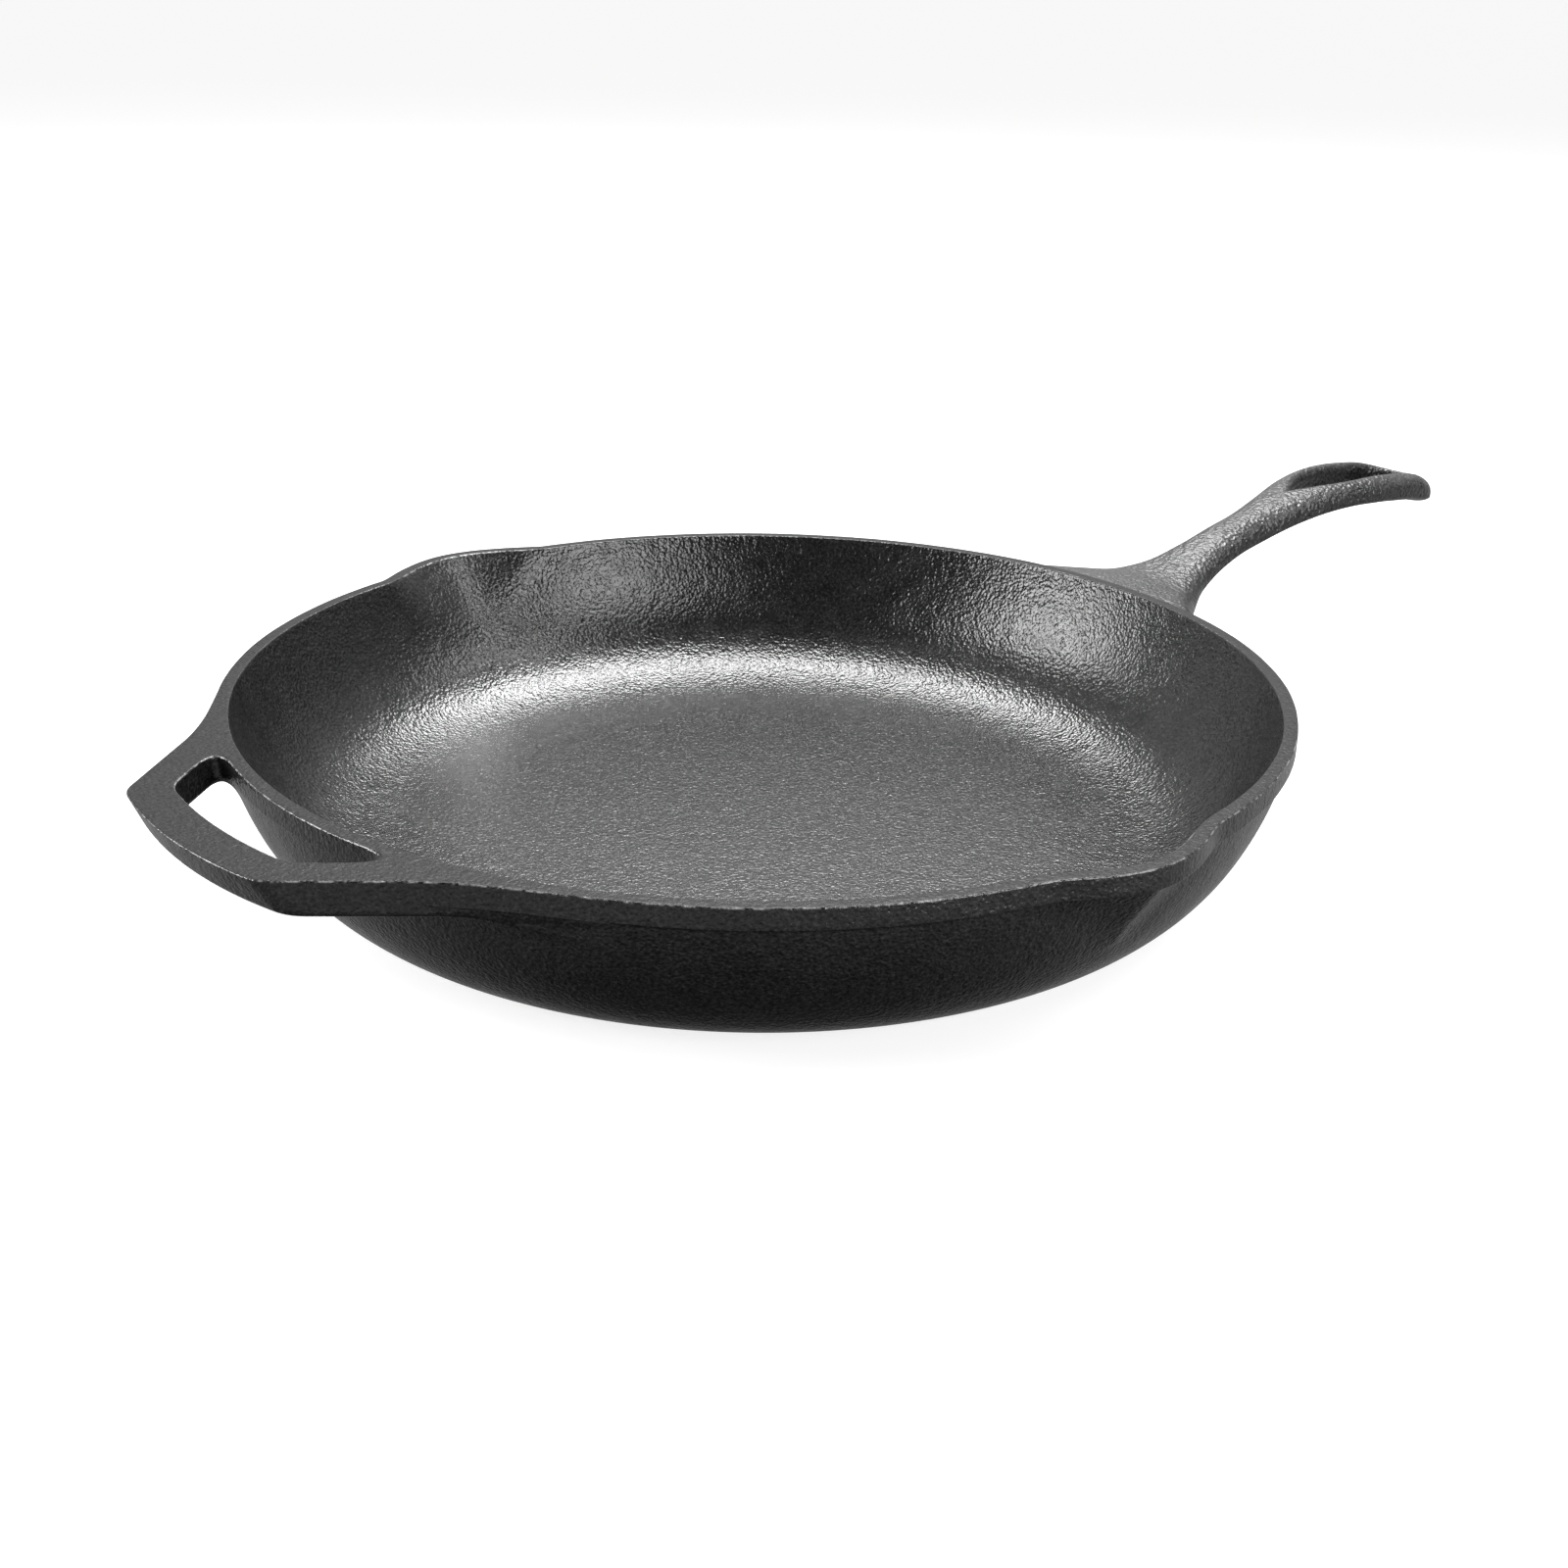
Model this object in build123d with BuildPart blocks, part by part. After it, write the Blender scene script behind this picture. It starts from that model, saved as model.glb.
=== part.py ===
"""Cast iron skillet: one sand casting, modelled as its named regions.

Frame: millimetres, origin at the centre of the flat underside, +Z up,
+X along the long handle.  Neighbouring regions meet on shared faces.
"""
import math
import os

from build123d import *

os.makedirs("parts", exist_ok=True)

# ---- driving dimensions ----------------------------------------------------
pan_height = 49.0            # underside to the ground rim face
rim_radius = 152.5           # a 12 in class pan is 305 mm across the rim
rim_land = 4.0               # width of the ground rim face
band_height = 6.0            # depth of the thicker band under the rim face
band_step = 1.5              # how far the wall stands in below the band
base_radius = 114.0          # flat part of the underside
floor_radius = 112.0         # flat part of the cooking surface
floor_thickness = 4.5
wall_lean = math.radians(11.5)
outer_pull_top = 23.0        # curve handles of the outer wall profile
outer_pull_base = 20.0
inner_pull_top = 30.0        # curve handles of the inner wall profile
inner_pull_floor = 20.0

spout_angle_left = 91.5      # centre of each pour spout round the rim, degrees
spout_angle_right = -94.0
spout_half_angle = 13.0      # half of the sector each spout piece takes up
spout_drop = 30.0            # height of each spout piece below the rim face
heel_height = pan_height - spout_drop
spout_round = 40.0           # plan radius of the outer lip
spout_reach_left = 161.5     # outer lip distance from the pan centre
spout_reach_right = 159.3
spout_apex_radius = 143.0    # where the outer cone runs out on the wall
spout_apex_depth = 27.0
groove_apex_depth = 20.5     # where the inner groove runs out

handle_tip = 337.2           # end of the long handle from the pan centre
handle_thickness = 11.0
handle_edge_round = 2.6
hole_start = 257.0           # teardrop hanging hole, pan end
hole_end = 326.6
hole_half_width = 9.0
hole_shoulder = 286.0

# stations of the long handle: distance out, half width, height of the top, crown
handle_stations = [
    (140.0, 42.5, pan_height - 0.6, 2.6),
    (149.0, 41.0, pan_height - 0.6, 2.6),
    (157.5, 36.0, pan_height - 0.9, 2.7),
    (166.0, 29.0, pan_height - 1.7, 2.7),
    (177.0, 21.5, pan_height - 2.8, 2.6),
    (190.0, 14.3, pan_height - 0.8, 2.3),
    (203.0, 10.8, pan_height + 3.0, 2.0),
    (218.0, 9.3, pan_height + 7.2, 1.8),
    (232.0, 9.3, pan_height + 10.0, 1.6),
    (247.0, 10.8, pan_height + 13.3, 1.4),
    (262.0, 13.4, pan_height + 16.0, 1.2),
    (278.0, 15.9, pan_height + 17.2, 1.1),
    (292.0, 17.6, pan_height + 16.9, 1.0),
    (307.0, 18.2, pan_height + 15.6, 1.0),
    (318.0, 18.0, pan_height + 14.1, 1.0),
]
tip_fall = 0.31              # slope of the handle beyond its last station
tip_turns = (25, 48, 66, 80)  # rounded end, degrees round from the side

helper_thickness = 9.4
helper_reach = 181.4         # outer edge of the short handle, on the centre line
helper_corner = (177.3, 33.6)
helper_corner_low = (173.8, 36.5)
helper_corner_round = 5.5
helper_root = (125.0, 77.3)
helper_lean = 3.9            # how far the grip face leans in to its lower edge
finger_reach = 169.5         # outer edge of the finger opening
finger_corner = (166.6, 29.3)
finger_root = (143.5, 47.8)
finger_root_radius = 151.2   # inside the band, so the opening reaches the rim's side
finger_corner_round = 2.5

trim_radius = 200.0          # reach of the blocks that trim the pan's regions


# ---- shared profiles ---------------------------------------------------------
def outer_wall_top():
    return (rim_radius - band_step, pan_height - band_height)


def add_outer_wall():
    top = outer_wall_top()
    pull = (top[0] - outer_pull_top * math.sin(wall_lean),
            top[1] - outer_pull_top * math.cos(wall_lean))
    Bezier(top, pull, (base_radius + outer_pull_base, 0), (base_radius, 0))


def add_inner_wall():
    top = (rim_radius - rim_land, pan_height)
    pull = (top[0] - inner_pull_top * math.sin(wall_lean),
            top[1] - inner_pull_top * math.cos(wall_lean))
    floor = (floor_radius, floor_thickness)
    Bezier(top, pull, (floor_radius + inner_pull_floor, floor_thickness), floor)


def spout_point(angle, radius):
    turn = math.radians(angle)
    return (radius * math.cos(turn), radius * math.sin(turn))


# everything inside the outer skin of revolution, used to trim what joins it
with BuildPart() as outer_form:
    with BuildSketch(Plane.XZ):
        with BuildLine():
            add_outer_wall()
            Polyline(outer_wall_top(), (rim_radius, pan_height - band_height),
                     (rim_radius, pan_height), (0, pan_height), (0, 0), (base_radius, 0))
        make_face()
    revolve(axis=Axis.Z)

# the open space inside the pan, carried up past the rim
with BuildPart() as cavity_form:
    with BuildSketch(Plane.XZ):
        with BuildLine():
            add_inner_wall()
            Polyline((floor_radius, floor_thickness), (0, floor_thickness),
                     (0, pan_height + 5), (rim_radius - rim_land, pan_height + 5),
                     (rim_radius - rim_land, pan_height))
        make_face()
    revolve(axis=Axis.Z)

# sector blocks that hand the wall over to each spout piece
with BuildPart() as spout_block_left:
    with BuildSketch(Plane.XY.offset(heel_height)):
        with BuildLine():
            Polyline((0, 0), spout_point(spout_angle_left - spout_half_angle, trim_radius),
                     spout_point(spout_angle_left + spout_half_angle, trim_radius), close=True)
        make_face()
    extrude(amount=spout_drop)

with BuildPart() as spout_block_right:
    with BuildSketch(Plane.XY.offset(heel_height)):
        with BuildLine():
            Polyline((0, 0), spout_point(spout_angle_right - spout_half_angle, trim_radius),
                     spout_point(spout_angle_right + spout_half_angle, trim_radius), close=True)
        make_face()
    extrude(amount=spout_drop)


# ---- pan floor ---------------------------------------------------------------
with BuildPart() as pan_floor:
    Cylinder(floor_radius, floor_thickness,
             align=(Align.CENTER, Align.CENTER, Align.MIN))
pan_floor.part.label = "pan_floor"
export_step(pan_floor.part, "parts/pan_floor.step")

# ---- wall heel: the curve from the floor up to the straight part of the wall ---
with BuildPart() as wall_heel:
    add(outer_form.part)
    add(cavity_form.part, mode=Mode.SUBTRACT)
    Cylinder(floor_radius, floor_thickness,
             align=(Align.CENTER, Align.CENTER, Align.MIN), mode=Mode.SUBTRACT)
    with Locations((0, 0, heel_height)):
        Cylinder(trim_radius, pan_height,
                 align=(Align.CENTER, Align.CENTER, Align.MIN), mode=Mode.SUBTRACT)
wall_heel.part.label = "wall_heel"
export_step(wall_heel.part, "parts/wall_heel.step")


# ---- side wall and rim band, each in two arcs between the spouts -------------
def wall_arc(low, high, cut_side):
    """The pan's wall between two heights, less the spouts and the half on cut_side."""
    add(outer_form.part)
    add(cavity_form.part, mode=Mode.SUBTRACT)
    Cylinder(trim_radius, low,
             align=(Align.CENTER, Align.CENTER, Align.MIN), mode=Mode.SUBTRACT)
    with Locations((0, 0, high)):
        Cylinder(trim_radius, pan_height,
                 align=(Align.CENTER, Align.CENTER, Align.MIN), mode=Mode.SUBTRACT)
    add(spout_block_left.part, mode=Mode.SUBTRACT)
    add(spout_block_right.part, mode=Mode.SUBTRACT)
    Box(trim_radius, 2 * trim_radius, trim_radius,
        align=(cut_side, Align.CENTER, Align.CENTER), mode=Mode.SUBTRACT)


with BuildPart() as side_wall_front:
    wall_arc(heel_height, pan_height - band_height, Align.MAX)
side_wall_front.part.label = "side_wall_front"
export_step(side_wall_front.part, "parts/side_wall_front.step")

with BuildPart() as side_wall_back:
    wall_arc(heel_height, pan_height - band_height, Align.MIN)
side_wall_back.part.label = "side_wall_back"
export_step(side_wall_back.part, "parts/side_wall_back.step")

with BuildPart() as rim_band_front:
    wall_arc(pan_height - band_height, pan_height, Align.MAX)
rim_band_front.part.label = "rim_band_front"
export_step(rim_band_front.part, "parts/rim_band_front.step")

with BuildPart() as rim_band_back:
    wall_arc(pan_height - band_height, pan_height, Align.MIN)
rim_band_back.part.label = "rim_band_back"
export_step(rim_band_back.part, "parts/rim_band_back.step")


# ---- pour spouts -------------------------------------------------------------
def add_spout_cone(angle, reach, plan_radius, apex_radius, apex_depth, mode):
    """Oblique cone: a circle at the rim face running down to a point on the wall."""
    lift = 4.0 if mode == Mode.SUBTRACT else 0.0
    grow = lift / apex_depth
    centre = reach - plan_radius
    top_centre = centre + (centre - apex_radius) * grow
    with BuildSketch(Plane.XY.offset(pan_height + lift)) as lip:
        with Locations(spout_point(angle, top_centre)):
            Circle(plan_radius * (1 + grow))
    with BuildSketch(Plane.XY.offset(pan_height - apex_depth)) as apex:
        with Locations(spout_point(angle, apex_radius)):
            Circle(0.4)
    loft([lip.sketch, apex.sketch], ruled=True, mode=mode)


with BuildPart() as pour_spout_left:
    add(outer_form.part)
    add_spout_cone(spout_angle_left, spout_reach_left, spout_round,
                   spout_apex_radius, spout_apex_depth, Mode.ADD)
    add(cavity_form.part, mode=Mode.SUBTRACT)
    add_spout_cone(spout_angle_left, spout_reach_left - rim_land, spout_round - rim_land,
                   spout_apex_radius, groove_apex_depth, Mode.SUBTRACT)
    add(spout_block_left.part, mode=Mode.INTERSECT)
pour_spout_left.part.label = "pour_spout_left"
export_step(pour_spout_left.part, "parts/pour_spout_left.step")

with BuildPart() as pour_spout_right:
    add(outer_form.part)
    add_spout_cone(spout_angle_right, spout_reach_right, spout_round,
                   spout_apex_radius, spout_apex_depth, Mode.ADD)
    add(cavity_form.part, mode=Mode.SUBTRACT)
    add_spout_cone(spout_angle_right, spout_reach_right - rim_land, spout_round - rim_land,
                   spout_apex_radius, groove_apex_depth, Mode.SUBTRACT)
    add(spout_block_right.part, mode=Mode.INTERSECT)
pour_spout_right.part.label = "pour_spout_right"
export_step(pour_spout_right.part, "parts/pour_spout_right.step")

# ---- long handle -------------------------------------------------------------
def handle_section(half_width, thickness, crown, edge_round):
    """Closed cross-section: crowned top, slightly bowed underside, rounded edges."""
    half = thickness / 2
    keel = 0.5 * crown
    with BuildLine() as outline:
        Line((half_width, keel - half), (half_width, half - crown))
        ThreePointArc((half_width, half - crown), (0, half), (-half_width, half - crown))
        Line((-half_width, half - crown), (-half_width, keel - half))
        ThreePointArc((-half_width, keel - half), (0, -half), (half_width, keel - half))
    make_face(outline.edges())
    fillet(vertices(), edge_round)


def section_plane(out, top, thickness):
    return Plane(origin=(out, 0, top - thickness / 2), x_dir=(0, 1, 0), z_dir=(1, 0, 0))


with BuildPart() as main_handle:
    for out, half_width, top, crown in handle_stations:
        with BuildSketch(section_plane(out, top, handle_thickness)):
            handle_section(half_width, handle_thickness, crown, handle_edge_round)
    last_out, end_radius, last_top, last_crown = handle_stations[-1]
    for turn in tip_turns:
        reach = end_radius * math.sin(math.radians(turn))
        shrink = math.cos(math.radians(turn))
        out = handle_tip - end_radius + reach
        thickness = handle_thickness * (0.45 + 0.55 * shrink)
        top = last_top - tip_fall * (out - last_out) - 0.5 * (handle_thickness - thickness)
        with BuildSketch(section_plane(out, top, thickness)):
            handle_section(end_radius * shrink, thickness, last_crown * shrink,
                           handle_edge_round * shrink ** 0.5)
    loft()
    # teardrop hanging hole
    hole_turn = hole_end - hole_half_width
    with BuildSketch(Plane.XY):
        with BuildLine():
            Spline((hole_start, 0), (hole_shoulder, hole_half_width),
                   (hole_turn, hole_half_width), tangents=[(1, 0.62), (1, 0)])
            ThreePointArc((hole_turn, hole_half_width), (hole_end, 0),
                          (hole_turn, -hole_half_width))
            Spline((hole_turn, -hole_half_width), (hole_shoulder, -hole_half_width),
                   (hole_start, 0), tangents=[(-1, 0), (-1, 0.62)])
        make_face()
    extrude(amount=2 * pan_height, mode=Mode.SUBTRACT)
    add(outer_form.part, mode=Mode.SUBTRACT)
main_handle.part.label = "main_handle"
export_step(main_handle.part, "parts/main_handle.step")


# ---- short helper handle -----------------------------------------------------
def helper_outline(reach, corner):
    """Plan of the short handle: a bowed grip edge and two straight arms."""
    with BuildLine() as outline:
        Polyline((-corner[0], corner[1]), (-helper_root[0], helper_root[1]),
                 (-helper_root[0], -helper_root[1]), (-corner[0], -corner[1]))
        ThreePointArc((-corner[0], corner[1]), (-reach, 0), (-corner[0], -corner[1]))
    make_face(outline.edges())
    fillet(vertices().sort_by(Axis.X)[:2], helper_corner_round)


with BuildPart() as helper_handle:
    with BuildSketch(Plane.XY.offset(pan_height - helper_thickness)):
        helper_outline(helper_reach - helper_lean, helper_corner_low)
    with BuildSketch(Plane.XY.offset(pan_height)):
        helper_outline(helper_reach, helper_corner)
    loft(ruled=True)
    # finger opening
    with BuildSketch(Plane.XY.offset(pan_height - helper_thickness - 1)):
        with BuildLine():
            Polyline((-finger_corner[0], finger_corner[1]), (-finger_root[0], finger_root[1]))
            RadiusArc((-finger_root[0], finger_root[1]), (-finger_root[0], -finger_root[1]),
                      finger_root_radius)
            Polyline((-finger_root[0], -finger_root[1]), (-finger_corner[0], -finger_corner[1]))
            ThreePointArc((-finger_corner[0], finger_corner[1]), (-finger_reach, 0),
                          (-finger_corner[0], -finger_corner[1]))
        make_face()
        fillet(vertices().sort_by(Axis.X)[:2], finger_corner_round)
    extrude(amount=helper_thickness + 2, mode=Mode.SUBTRACT)
    add(outer_form.part, mode=Mode.SUBTRACT)
helper_handle.part.label = "helper_handle"
export_step(helper_handle.part, "parts/helper_handle.step")
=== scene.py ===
"""Cast iron skillet: seasoned black iron with a ground rim, on a pale studio floor.

The pan is one polar grid, cut into the named regions of the CAD frame.  The two
handles are modelled as distance fields, so that they flow out of the wall with the
soft fillets of a casting.  Shapes are in millimetres, and become metres at the mesh.
"""
import math

import bpy
import numpy as np
from mathutils import Matrix, Vector


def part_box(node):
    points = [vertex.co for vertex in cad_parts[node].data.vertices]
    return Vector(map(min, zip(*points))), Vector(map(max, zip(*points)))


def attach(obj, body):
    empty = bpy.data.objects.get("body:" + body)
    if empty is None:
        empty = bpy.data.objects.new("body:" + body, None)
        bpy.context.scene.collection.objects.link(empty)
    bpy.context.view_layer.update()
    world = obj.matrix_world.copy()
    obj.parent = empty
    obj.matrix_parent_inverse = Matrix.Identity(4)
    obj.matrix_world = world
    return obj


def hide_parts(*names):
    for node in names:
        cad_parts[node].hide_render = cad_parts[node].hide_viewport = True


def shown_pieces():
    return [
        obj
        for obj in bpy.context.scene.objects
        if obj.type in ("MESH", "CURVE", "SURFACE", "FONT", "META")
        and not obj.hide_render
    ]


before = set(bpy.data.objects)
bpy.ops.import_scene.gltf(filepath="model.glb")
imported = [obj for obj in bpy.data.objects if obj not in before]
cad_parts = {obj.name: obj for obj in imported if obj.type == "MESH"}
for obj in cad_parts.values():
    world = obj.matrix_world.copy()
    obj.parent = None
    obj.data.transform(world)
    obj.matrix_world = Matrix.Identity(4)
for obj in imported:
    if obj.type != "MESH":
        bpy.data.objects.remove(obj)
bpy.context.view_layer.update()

MM = 0.001
BLEND_LOSS = 0.3               # the right lip's soft blend falls this far short of its reach

# ---- sizes taken from the frame ------------------------------------------------
floor_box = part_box("pan_floor")
heel_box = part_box("wall_heel")
band_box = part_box("rim_band_front")
left_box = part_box("pour_spout_left")
right_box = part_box("pour_spout_right")
handle_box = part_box("main_handle")
helper_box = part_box("helper_handle")

FLOOR_RADIUS = floor_box[1].x / MM
FLOOR_TOP = floor_box[1].z / MM
HEEL_TOP = heel_box[1].z / MM
RIM_TOP = band_box[1].z / MM
BAND_BOTTOM = band_box[0].z / MM
RIM_RADIUS = band_box[1].x / MM
LEFT_REACH = left_box[1].y / MM
RIGHT_REACH = -right_box[0].y / MM + BLEND_LOSS
HANDLE_TIP = handle_box[1].x / MM
HELPER_REACH = -helper_box[0].x / MM
HELPER_BOTTOM = helper_box[0].z / MM

# ---- sizes of the shape ----------------------------------------------------------
BASE_RADIUS = FLOOR_RADIUS + 2.0
RIM_LAND = 4.0
BAND_STEP = 1.5
WALL_LEAN = math.radians(11.5)
OUTER_PULLS = (23.0, 20.0)     # curve handles at the top and the base
INNER_PULLS = (30.0, 20.0)
FLOOR_DISH = 10.0              # the floor starts to rise this far inside its edge
EDGE_ROUND = 0.4               # broken edges of the ground rim
STEP_FILLET = 0.35             # hollow under the band
HELPER_ARC = (13.0, 31.0)      # where the short handle's top joins the rim, in degrees off it

# rows of the pan's grid
FLOOR_ROWS = 20
WALL_ROWS = 33
OUTER_WALL_ROWS = 30
BAND_ROWS = 8
BASE_ROWS = 16
RIPPLE_FADE = 12.0             # height over which the casting's unevenness fades in
PROFILE_SAMPLES = 400
PROFILE_STRIDE = 6             # the curved heel uses every sixth sample
BAND_TOP_GAP = 0.5             # lowest full row of the band, above its bottom
BAND_UNDERSIDE = ((0.15, 0.15), (0.5, 0.0))     # step in and height of the band's lower edge
HOLLOW_DEPTHS = (0.15, 0.35, 0.6, 0.9)          # rows under the band, and where the wall starts
WALL_START = 1.2
ROUND_SHARES = (0.35, 0.7, 1.0)

SPOUT_HALF_ANGLE = 13.0
FINE_STEP = 0.25               # degrees between columns in the spouts
COARSE_STEP = 0.6

# the two spouts: centre angle, reach of the lip at the rim
SPOUTS = {"pour_spout_left": (91.5, LEFT_REACH), "pour_spout_right": (-94.0, RIGHT_REACH)}
LIP_BOW = (0.9, 30.0)          # slope of the lip's sides, roundness of its nose
CREST_STEP = 1.3               # crest below the band stands in by this much
CREST_SLOPE = 0.68             # run in per mm of height
CREST_FLANK = 0.36             # how fast the two outer facets fall back
VALLEY_SLOPE = 0.68
VALLEY_FLANK = (0.122, 1.3)    # factor and power of the groove's sides
CREST_NOSE = 2.0               # roundness of the crest
CREASE_NOSE = (0.8, 3.5, 6.0)  # the groove's: deep down, added at the rim, and depth of the fade
INNER_FADE = 5.0               # height over which a spout grows out of the wall
OUTER_FADE = 4.0
GROOVE_BLEND = 3.0             # widths of the soft blends into the pan's own surfaces
LIP_BLEND = 1.6
CREST_BLEND = 2.0
CREST_STAND_IN = 0.7           # the crest stays at least this far inside the lip

# long handle: distance out, half width, top above the rim, crown
HANDLE_STATIONS = np.array([
    (130.0, 43.5, -0.6, 2.6),
    (140.0, 42.5, -0.6, 2.6),
    (149.0, 41.0, -0.6, 2.6),
    (157.5, 36.0, -0.9, 2.7),
    (166.0, 29.0, -1.7, 2.7),
    (177.0, 21.5, -2.8, 2.6),
    (190.0, 14.3, -0.8, 2.3),
    (203.0, 10.8, 3.0, 2.0),
    (218.0, 9.3, 7.2, 1.8),
    (232.0, 9.3, 10.0, 1.6),
    (247.0, 10.8, 13.3, 1.4),
    (262.0, 13.4, 16.0, 1.2),
    (278.0, 15.9, 17.2, 1.1),
    (292.0, 17.6, 16.9, 1.0),
    (307.0, 18.2, 15.6, 1.0),
    (318.0, 18.0, 14.1, 1.0),
    (340.0, 18.0, 7.3, 1.0),
])
HANDLE_THICKNESS = 11.0
HANDLE_EDGE = 8.5              # how far in the rounded sides reach
TIP_RADIUS = 18.0
PARTING_SHARE = 0.34           # height of the parting line, as a share of thickness
SQUARENESS = (2.8, 2.0)        # powers of its section above and below the parting line
HOLE_START = 257.0
HOLE_SHOULDER = 286.0
HOLE_HALF_WIDTH = 9.0
HOLE_END = 326.6
HOLE_OPENING_SLOPE = 0.62
HOLE_LIP = 3.4

# short handle, as distances towards its side of the pan
GRIP_CORNER = (177.3, 33.6)
GRIP_ROOT = (125.0, 77.3)
GRIP_LEAN = 3.9                # its bottom stands in by this much
GRIP_ROUND = 2.2               # roundness of its corners in plan, and of its other edges
FINGER_ROUND = 3.0
FINGER_EDGE = 0.8
UNDER_EDGE = 2.0
TOP_EDGE = 0.6
FINGER_REACH = 169.5
FINGER_CORNER = (166.6, 29.3)
FINGER_ROOT = (143.5, 47.8)
ROOT_SPREAD = 92.0             # its fillets are under the pan's skin before this far out

# fillets of the handles: width near the rim, and how much it changes below
MAIN_FLOW = (0.8, 6.0)
HELPER_FLOW = (9.0, -2.5)
SKIN_GAP = 0.02                # handle surfaces slip this far under the pan's skin
SKIN_DIVE = 0.6                # and then dive by this much
DIVE_START = 0.92              # where the dive is, as shares of the fillet's width
DIVE_LENGTH = 0.2
DIVE_END = 1.15
SKIN_DEPTH = 2.2               # how deep under the skin the piece stops
FIELD_STEPS = {"main_handle": 0.5, "helper_handle": 0.45}
FIELD_ROOM = (22.0, 22.0, 1.5)     # margin round the CAD node's box
FIELD_CHUNK = 400000           # points worked out at a time


# ---- small maths -----------------------------------------------------------------
def smooth_step(x):
    x = np.clip(x, 0.0, 1.0)
    return x * x * (3 - 2 * x)


def smooth_max(a, b, width):
    h = np.maximum(width - np.abs(a - b), 0.0) / width
    return np.maximum(a, b) + h * h * width / 4


def smooth_min(a, b, width):
    return -smooth_max(-a, -b, width)


def bezier(points, t):
    p = np.array(points, float)
    t = t[:, None]
    s = 1 - t
    return s**3 * p[0] + 3 * s * s * t * p[1] + 3 * s * t * t * p[2] + t**3 * p[3]


def through(knots, values, x):
    """Smooth curve through the knots, and its slope, at each x."""
    slopes = np.gradient(values, knots)
    i = np.clip(np.searchsorted(knots, x) - 1, 0, len(knots) - 2)
    h = knots[i + 1] - knots[i]
    t = (x - knots[i]) / h
    a, b, ma, mb = values[i], values[i + 1], slopes[i] * h, slopes[i + 1] * h
    y = (2*t**3 - 3*t**2 + 1)*a + (t**3 - 2*t**2 + t)*ma + (3*t**2 - 2*t**3)*b + (t**3 - t**2)*mb
    dy = (6*t**2 - 6*t)*(a - b) + (3*t**2 - 4*t + 1)*ma + (3*t**2 - 2*t)*mb
    return y, dy / h


# ---- wall profiles ---------------------------------------------------------------
def wall_curve(top, pulls, foot):
    lean = np.array((math.sin(WALL_LEAN), math.cos(WALL_LEAN)))
    points = (top, top - pulls[0] * lean, (foot[0] + pulls[1], foot[1]), foot)
    return bezier(points, np.linspace(0, 1, PROFILE_SAMPLES))


INNER = wall_curve(np.array((RIM_RADIUS - RIM_LAND, RIM_TOP)),
                   (INNER_PULLS[0], INNER_PULLS[1] + FLOOR_DISH),
                   (FLOOR_RADIUS - FLOOR_DISH, FLOOR_TOP))
OUTER = wall_curve(np.array((RIM_RADIUS - BAND_STEP, BAND_BOTTOM)), OUTER_PULLS,
                   (BASE_RADIUS, 0.0))


def inner_radius(z):
    return np.interp(z, INNER[::-1, 1], INNER[::-1, 0])


def outer_radius(z):
    """Outer wall, with the small hollow under the band and the band itself."""
    wall = np.interp(z, OUTER[::-1, 1], OUTER[::-1, 0])
    hollow = np.clip(1 - (BAND_BOTTOM - z) / (2.5 * STEP_FILLET), 0, 1)
    return np.where(z > BAND_BOTTOM + 1e-6, RIM_RADIUS, wall + STEP_FILLET * hollow**2)


def sand_ripple(x, y, z, size=0.07):
    """The slight unevenness of a sand casting."""
    a = np.sin(x / 11.0 + 1.3) * np.sin(y / 9.0 + 0.4) * np.cos(z / 13.0)
    b = np.sin(x / 4.7 + y / 6.1 + 2.0) * np.sin(y / 5.3 - z / 4.9)
    return size * (a + 0.45 * b)


# ---- spout surfaces, as radius at an angle off the spout's centre -------------------
def soft_size(x, softness):
    return np.sqrt(x * x + softness * softness) - softness


def radius_where(along, side_fall, turn):
    """Radius at which a ray at this turn meets y = along - side_fall(x)."""
    radius = along / np.cos(turn)
    for _ in range(12):
        radius = (along - side_fall(radius * np.sin(turn))) / np.cos(turn)
    return radius


def lip_radius(reach, turn):
    slope, nose = LIP_BOW
    return radius_where(reach, lambda x: slope * soft_size(x, nose), turn)


def crest_radius(reach, depth, turn):
    below = np.maximum(depth - (RIM_TOP - BAND_BOTTOM), 0)
    along = reach - CREST_STEP - CREST_SLOPE * below
    return radius_where(along, lambda x: CREST_FLANK * soft_size(x, CREST_NOSE), turn)


def groove_radius(reach, depth, turn):
    factor, power = VALLEY_FLANK
    deep, added, fade = CREASE_NOSE
    softness = deep + added * np.clip(1 - depth / fade, 0, 1)
    along = reach - RIM_LAND - VALLEY_SLOPE * depth

    def fall(x):
        crease = factor * (soft_size(x, softness) + 1e-9) ** power
        bowl = LIP_BOW[0] * soft_size(x, LIP_BOW[1] - RIM_LAND)
        return np.where(x > 0, np.maximum(crease, bowl), bowl)

    return radius_where(along, fall, turn)


def spout_turn(angles, name):
    centre = SPOUTS[name][0]
    turn = (angles - centre + 180) % 360 - 180
    return np.radians(np.clip(turn, -SPOUT_HALF_ANGLE - 8, SPOUT_HALF_ANGLE + 8))


def near_spout(angles, name):
    """One across a spout's sector, and nothing a little outside it."""
    turn = np.abs(np.degrees(spout_turn(angles, name)))
    return smooth_step((SPOUT_HALF_ANGLE - turn) / 2.0)


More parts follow.
